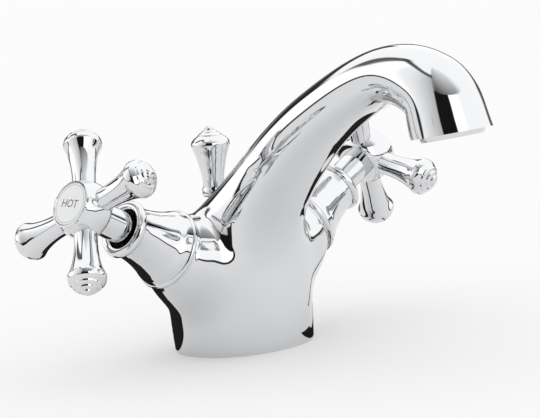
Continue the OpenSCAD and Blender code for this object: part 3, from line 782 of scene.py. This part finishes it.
def letters(side):
    """The word on the index disc, cut from a sheet and laid on the disc's face."""
    bpy.ops.object.text_add(location=(0, 0, 0))
    piece = bpy.context.object
    piece.name = f"{side}_index_word"
    piece.data.body = side.upper()
    piece.data.align_x = "CENTER"
    piece.data.align_y = "CENTER"
    piece.data.size = WORD_SIZE[side]
    piece.data.extrude = WORD_THICK
    select_only(piece)
    bpy.ops.object.convert(target="MESH")
    return placed(piece, at_valve(side, DISC_FACE + WORD_RAISED)
                  @ Matrix.Rotation(WORD_TURN[side], 4, "Z"))


# Each repeated piece is turned once, at the origin, and copied to its places
SHROUD = turned("bell_shroud", shroud_profile(), closed=True)
HUB = turned("cross_hub", hub_profile())
ARM = turned("cross_arm", arm_profile(), sharp=ARM_SHARP)
DISC = turned("enamel_disc", disc_profile())

for side in SIDE:
    handle = f"{side}_handle"
    shroud = copy_at(SHROUD, f"{side}_bell_shroud", at_valve(side, ARM_END))
    finish_piece(shroud, "mixer", "chrome_trim", CHROME_TRIM, f"{side}_shroud")
    hub = copy_at(HUB, f"{side}_cross_hub", at_valve(side))
    finish_piece(hub, handle, "chrome_trim", CHROME_TRIM, f"{side}_hub")
    for quarter in range(4):
        arm = copy_at(ARM, f"{side}_cross_arm_{quarter + 1}", at_arm(side, quarter))
        finish_piece(arm, handle, "chrome_trim", CHROME_TRIM, f"{side}_arm_{quarter + 1}")
    disc = copy_at(DISC, f"{side}_enamel_disc", at_valve(side))
    finish_piece(disc, handle, "index_enamel", ENAMEL, f"{side}_index_disc")
    finish_piece(letters(side), handle, "index_enamel", PRINT)

for pattern in (SHROUD, HUB, ARM, DISC):
    bpy.data.objects.remove(pattern)


# --- pop-up knob and rod ------------------------------------------------------

# Mouldings as steps, then shares of the knob's radius and of its height
KNOB_MOULDINGS = [
    (1, (0.56, 0), (0.62, 0.015), (0.62, 0.1), (0.6, 0.115)),
    (5, (0.57, 0.13), (0.57, 0.24), (0.61, 0.33), (0.68, 0.42), (0.75, 0.51), (0.84, 0.6),
     (0.96, 0.69), (1, 0.73)),
    (5, (1, 0.76), (0.95, 0.795), (0.81, 0.835), (0.64, 0.866)),
    (3, (0.61, 0.872), (0.6, 0.884), (0.52, 0.9), (0.43, 0.912)),
    (3, (0.4, 0.917), (0.39, 0.926), (0.33, 0.936), (0.26, 0.944)),
    (4, (0.235, 0.95), (0.22, 0.97), (0.14, 0.992), (0, 1)),
]


def knob_profile():
    """A collar, a trumpet that widens upwards, and a crown of rings that ends in a nub."""
    return [(ROD_R, KNOB_FOOT), *mouldings(KNOB_FOOT, KNOB_H, KNOB_R, KNOB_MOULDINGS)]


def rod_profile():
    """A straight rod with a bevelled end, screwed into the knob."""
    return [(0, ROD_END), (ROD_R - 0.4, ROD_END), (ROD_R, ROD_END + 0.4), (ROD_R, ROD_TOP),
            (0, ROD_TOP)]


knob = placed(turned("finial_knob", knob_profile()), at_rod())
finish_piece(knob, "rod", "chrome_trim", CHROME_TRIM, "lift_knob")
rod = placed(turned("pop_up_rod", rod_profile(), steps=ROD_ROUND), at_rod())
finish_piece(rod, "rod", "chrome_rod", CHROME_ROD, "lift_rod")


# --- aerator ------------------------------------------------------------------

def aerator_profile():
    """A ring with a rounded front, which stands a little proud of the nose."""
    outer, inner, back, proud = 11.9, 10.3, -5.3, 1.8
    front = [*arc((11.3, proud - 0.4), 0.4, 10, 90, 4), *arc((9.9, proud - 0.4), 0.4, 90, 180, 4)]
    return [(inner, back), (outer, back), (outer, 0.9), (11.75, 1.2), *front,
            (9.5, proud - 0.8), (inner, proud - 0.8), (inner, back)]


ring = placed(turned("aerator_ring", aerator_profile(), closed=True), at_outlet())
finish_piece(ring, "mixer", "chrome_trim", CHROME_TRIM, "aerator_housing")


# --- finishes of the pieces that stay as they are -----------------------------

def dress(material, *nodes):
    for node in nodes:
        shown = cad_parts[node]
        shown.data.materials.clear()
        shown.data.materials.append(material)


dress(GREY_PLASTIC, "aerator_insert")
dress(RUBBER, "base_seal", "aerator_washer", "horseshoe_rubber")
dress(NYLON, "rod_bush")
dress(BRASS, "fixing_stud", "backnut")
dress(STEEL, "horseshoe_plate")
for side in SIDE:
    # The headwork gets brass painted near black, as painted shade for the shadow inside its shroud
    dress(BRASS_PAINTED_SHADE, f"{side}_headwork")
    dress(BRASS, f"{side}_spindle", f"{side}_jumper", f"{side}_washer_screw")
    dress(RUBBER, f"{side}_spindle_orings", f"{side}_jumper_washer")
    dress(FIBRE, f"{side}_headwork_washer")
    dress(STEEL, f"{side}_spindle_circlip", f"{side}_handle_screw")


# --- studio -------------------------------------------------------------------

# Where the photograph was taken from, and the camera's right and up
CAMERA_PLACE = Vector((-0.686401, -0.793162, 0.198493))
CAMERA_RIGHT = Vector((0.736717, -0.671009, -0.083643))
CAMERA_UP = Vector((0.154214, 0.046289, 0.986953))
# Lens and sensor in millimetres, and the nearest and farthest that the camera sees in metres
LENS, SENSOR_WIDTH = 178.85, 36
NEAREST, FARTHEST = 0.05, 20
RIGHT_WAY = Vector((CAMERA_RIGHT.x, CAMERA_RIGHT.y, 0)).normalized()
FRONT_WAY = RIGHT_WAY.cross(Vector((0, 0, 1)))

# What polished metal sees of the studio, as soft-edged cards. First and last azimuth from the
# camera's side, positive to its right, lowest and highest edge over the horizon, softness of the
# first and the last edge and of top and bottom, all in degrees; brightness at the first and at the
# last azimuth, and how much brighter it gets a degree upwards. A later card covers an earlier one.
CARDS = [
    (-125, -88, -95, 64, 2.0, 2.0, 4.0, 1.6, 1.45, 0.0),
    (-88, -15, -95, 62, 4.0, 4.0, 4.0, 1.25, 0.45, 0.0),
    (-27, 62, 39.5, 100, 6.0, 16.0, 2.0, 0.02, 0.5, 0.017),
    (-124, -106, 24, 66, 4.0, 4.0, 4.0, 0.1, 0.2, 0.0),
    (-125, -22, 60.5, 68, 3.0, 3.0, 2.5, 0.1, 0.12, 0.0),
    (-190, -129, 12, 23, 1.5, 1.5, 1.5, 0.03, 0.03, 0.0),
    (138, 190, -5, 12, 6.0, 2.0, 3.0, 0.1, 0.1, 0.0),
    (-190, -138, -5, 12, 2.0, 6.0, 3.0, 0.1, 0.1, 0.0),
    (14, 46, -95, 39.5, 2.0, 2.0, 1.0, 1.75, 1.6, 0.0),
    (-125, -24, -95, 1.6, 2.0, 2.0, 0.8, 0.03, 0.03, 0.0),
    (-50, -24, -95, 11, 2.0, 2.0, 2.0, 0.03, 0.01, 0.0),
    (-29, 14, -95, 40.5, 2.0, 2.0, 1.0, 0.01, 0.01, 0.0),
    (12, 130, -95, 2.6, 0.8, 0.8, 0.8, 0.02, 0.05, 0.0),
]
# Brightness where no card stands
ROOM = 1.3

# Size of the floor in metres and the greys of floor and table, then how high the table's edges lie
FLOOR_SIZE, FLOOR_WHITE = 8, 0.97
TABLE_DARK, TABLE_GREY = 0.02, 0.2
EDGE_HEIGHT = 0.0004

# Edges of the table that only the metal sees: middle to the camera's right and to its front, width
# and depth in metres, turn in degrees. The last one is grey and the others are dark.
TABLE_EDGES = {
    "table_edge_left": (-0.051, -0.0745, 0.046, 0.165, 0),
    "table_edge_shroud": (-0.0765, 0.013, 0.047, 0.018, 0),
    "table_edge_right": (0.0829, -0.1015, 0.005, 0.11, -6.6),
    "table_edge_corner": (0.037, -0.0055, 0.018, 0.019, 0),
    "table_edge_behind": (0.034, -0.045, 0.009, 0.06, 0),
    "table_edge_back": (0, -1.4, 3.2, 1.8, 0),
}


def studio_floor():
    """A pale floor at the deck, and edges of the table that show only in the metal."""
    bpy.ops.mesh.primitive_plane_add(size=FLOOR_SIZE, location=(0, 0, 0))
    floor = bpy.context.object
    floor.name = "studio_floor"
    floor.data.materials.append(flat_matt("pale_floor", FLOOR_WHITE))
    dark, grey = flat_matt("table_edge", TABLE_DARK), flat_matt("table_far", TABLE_GREY)
    to_camera = Matrix((RIGHT_WAY, -FRONT_WAY, Vector((0, 0, 1)))).transposed().to_4x4()
    for name, (across, ahead, wide, deep, angle) in TABLE_EDGES.items():
        bpy.ops.mesh.primitive_plane_add(size=1, location=(0, 0, 0))
        strip = bpy.context.object
        strip.name = name
        middle = RIGHT_WAY * across + FRONT_WAY * ahead + Vector((0, 0, EDGE_HEIGHT))
        placed(strip, Matrix.Translation(middle) @ to_camera
               @ Matrix.Rotation(math.radians(angle), 4, "Z") @ Matrix.Diagonal((wide, deep, 1, 1)))
        strip.data.materials.append(grey if name == "table_edge_back" else dark)
        strip.visible_camera = False
        strip.visible_diffuse = False
        strip.visible_shadow = False


def studio_light():
    """Plain white light from all round; polished metal sees the cards in place of it."""
    world = bpy.data.worlds.new("studio")
    bpy.context.scene.world = world
    world.use_nodes = True
    tree = world.node_tree
    links = tree.links

    def maths(operation, *values):
        node = tree.nodes.new("ShaderNodeMath")
        node.operation = operation
        for socket, value in zip(node.inputs, values):
            if isinstance(value, (int, float)):
                socket.default_value = value
            else:
                links.new(value, socket)
        return node.outputs[0]

    def along(way):
        node = tree.nodes.new("ShaderNodeVectorMath")
        node.operation = "DOT_PRODUCT"
        node.inputs[1].default_value = way
        links.new(view.outputs["Generated"], node.inputs[0])
        return node.outputs["Value"]

    def ramp(value, start, end, low, high, kind="LINEAR"):
        node = tree.nodes.new("ShaderNodeMapRange")
        node.interpolation_type = kind
        for socket, number in zip(node.inputs[1:5], (start, end, low, high)):
            socket.default_value = number
        links.new(value, node.inputs[0])
        return node.outputs["Result"]

    def edge(value, at, soft, low, high):
        """A soft step from low to high at one value."""
        return ramp(value, at - soft, at + soft, low, high, "SMOOTHSTEP")

    view = tree.nodes.new("ShaderNodeTexCoord")
    in_degrees = 180 / math.pi
    azimuth = maths("MULTIPLY", maths("ARCTAN2", along(RIGHT_WAY), along(FRONT_WAY)), in_degrees)
    height = maths("MULTIPLY", maths("ARCSINE", along((0, 0, 1))), in_degrees)
    seen = ROOM
    for first, last, low, high, soft, last_soft, top_soft, bright, brighter, rise in CARDS:
        cover = maths("MULTIPLY", edge(azimuth, first, soft, 0, 1),
                      edge(azimuth, last, last_soft, 1, 0))
        cover = maths("MULTIPLY", cover, edge(height, low, top_soft, 0, 1))
        cover = maths("MULTIPLY", cover, edge(height, high, top_soft, 1, 0))
        glow = ramp(azimuth, first, last, bright, brighter)
        if rise:
            glow = maths("ADD", glow, maths("MULTIPLY", maths("SUBTRACT", height, low), rise))
        rest = maths("MULTIPLY", maths("SUBTRACT", 1, cover), seen)
        seen = maths("ADD", maths("MULTIPLY", cover, glow), rest)
    path = tree.nodes.new("ShaderNodeLightPath")
    glossy = path.outputs["Is Glossy Ray"]
    strength = maths("ADD", maths("MULTIPLY", glossy, seen), maths("SUBTRACT", 1, glossy))
    links.new(strength, tree.nodes["Background"].inputs["Strength"])
    tree.nodes["Background"].inputs["Color"].default_value = (1, 1, 1, 1)


def photo_camera():
    """The photograph's own viewpoint, solved from the rims of the shrouds, discs and outlet."""
    turn = Matrix((CAMERA_RIGHT, CAMERA_UP, CAMERA_RIGHT.cross(CAMERA_UP))).transposed().to_4x4()
    data = bpy.data.cameras.new("photo_camera")
    data.lens, data.sensor_width = LENS, SENSOR_WIDTH
    data.clip_start, data.clip_end = NEAREST, FARTHEST
    camera = bpy.data.objects.new("photo_camera", data)
    camera.matrix_world = Matrix.Translation(CAMERA_PLACE) @ turn
    bpy.context.scene.collection.objects.link(camera)
    bpy.context.scene.camera = camera


studio_floor()
studio_light()
photo_camera()
bpy.context.scene.view_settings.view_transform = "Standard"
